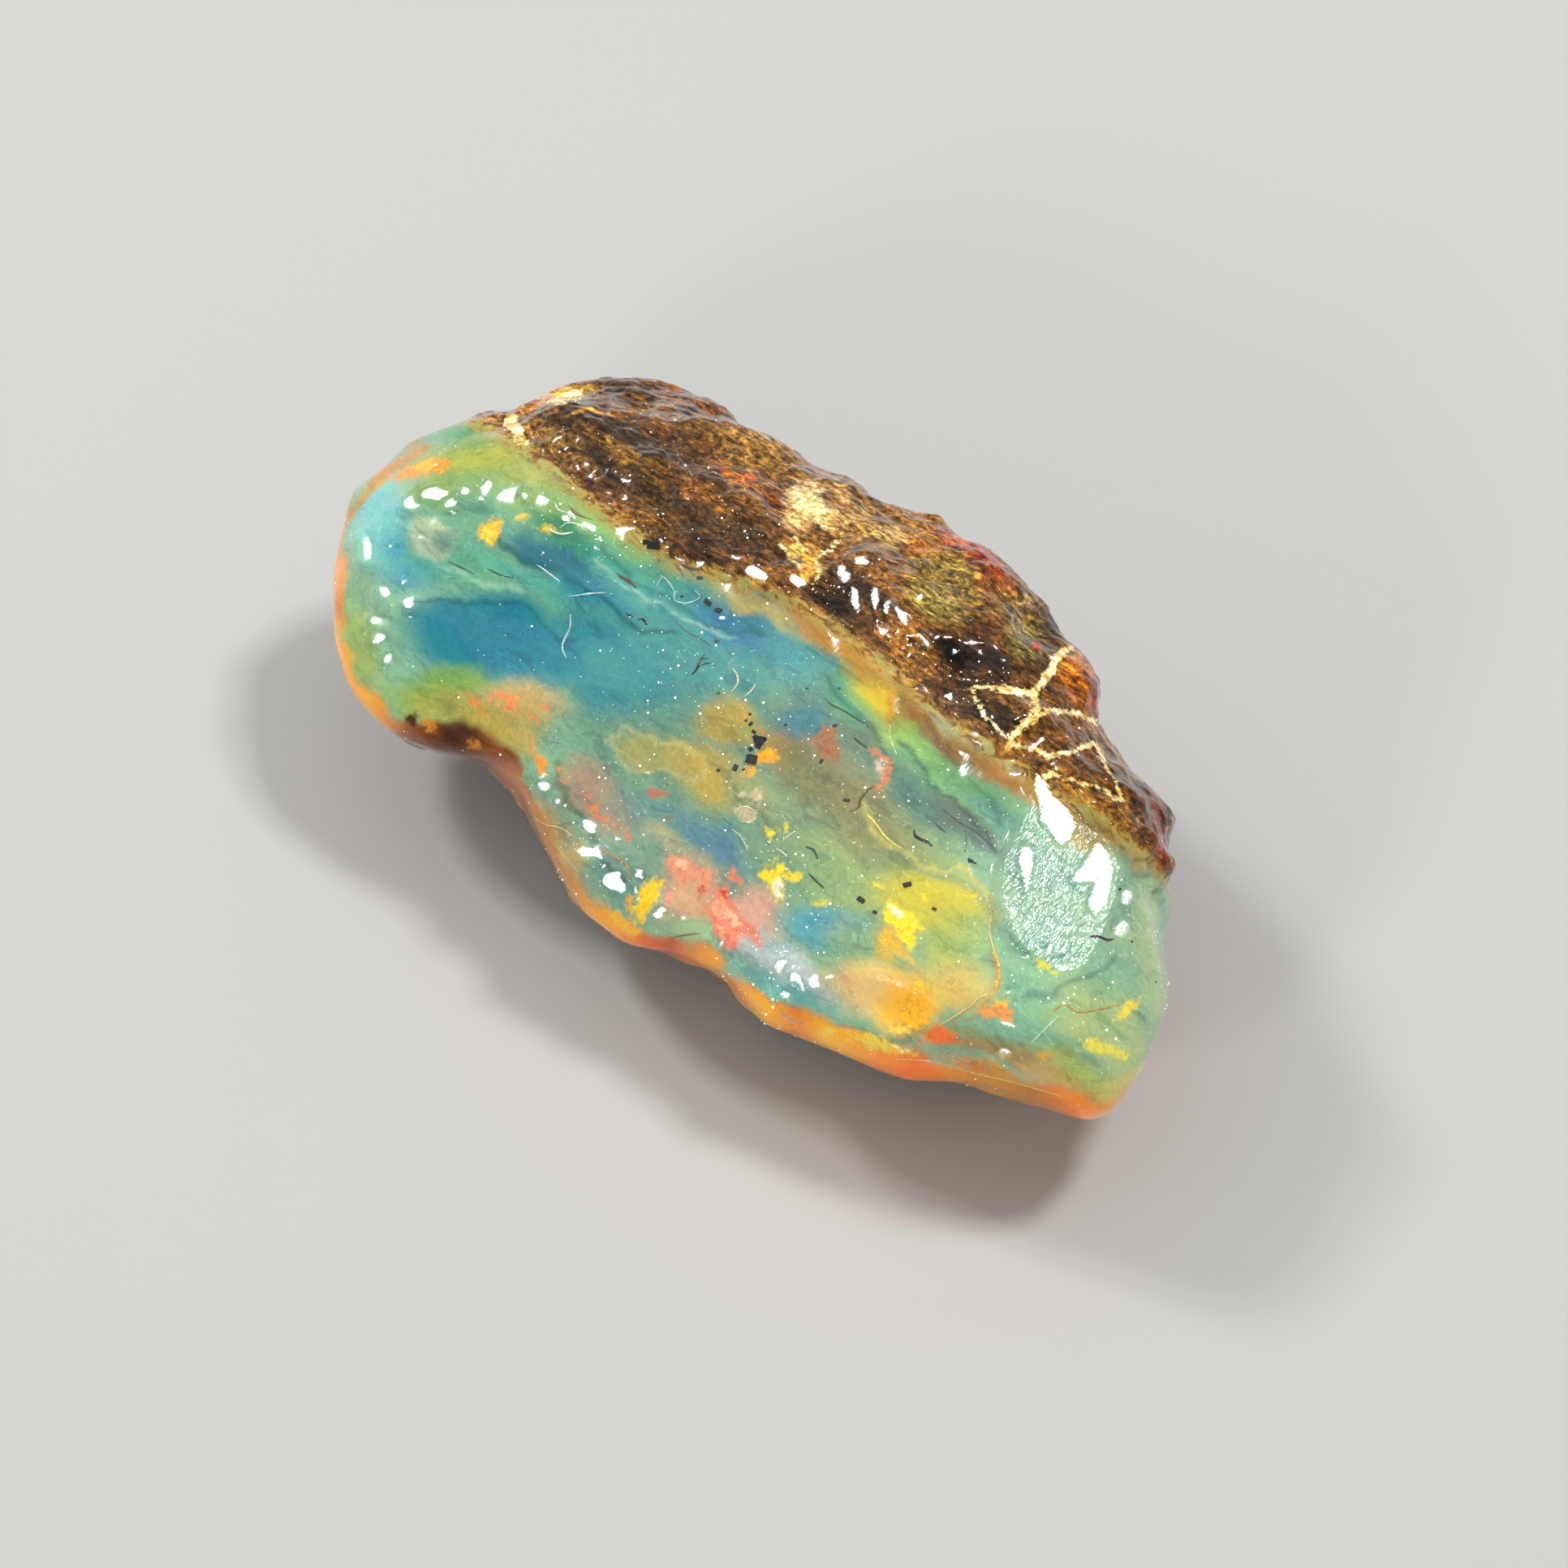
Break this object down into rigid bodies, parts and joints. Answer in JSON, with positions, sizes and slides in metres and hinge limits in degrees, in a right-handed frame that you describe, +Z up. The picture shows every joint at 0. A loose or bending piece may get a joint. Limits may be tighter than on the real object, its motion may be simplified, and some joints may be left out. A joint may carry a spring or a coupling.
{
  "type": "raw amber",
  "caption": "Raw lump of clear amber with a bumpy dark crust along its back, a long smooth window on its near side and a small flat face to rest on.",
  "frame": {"origin": "centre of the bounding box in plan, at the height of the flat face that the stone rests on", "axes": "+X along the stone's length, towards the thin clear end; +Z up from the surface it rests on; the clear window faces -Y and up"},
  "size_m": [0.0522, 0.0264, 0.0197],
  "materials": {
    "amber": "fossil tree resin: clear, wet-looking and blue-green on the near side, with a dark brown and rust crust on the back"
  },
  "bodies": {
    "root": {"amber": "amber"}
  },
  "joints": []
}
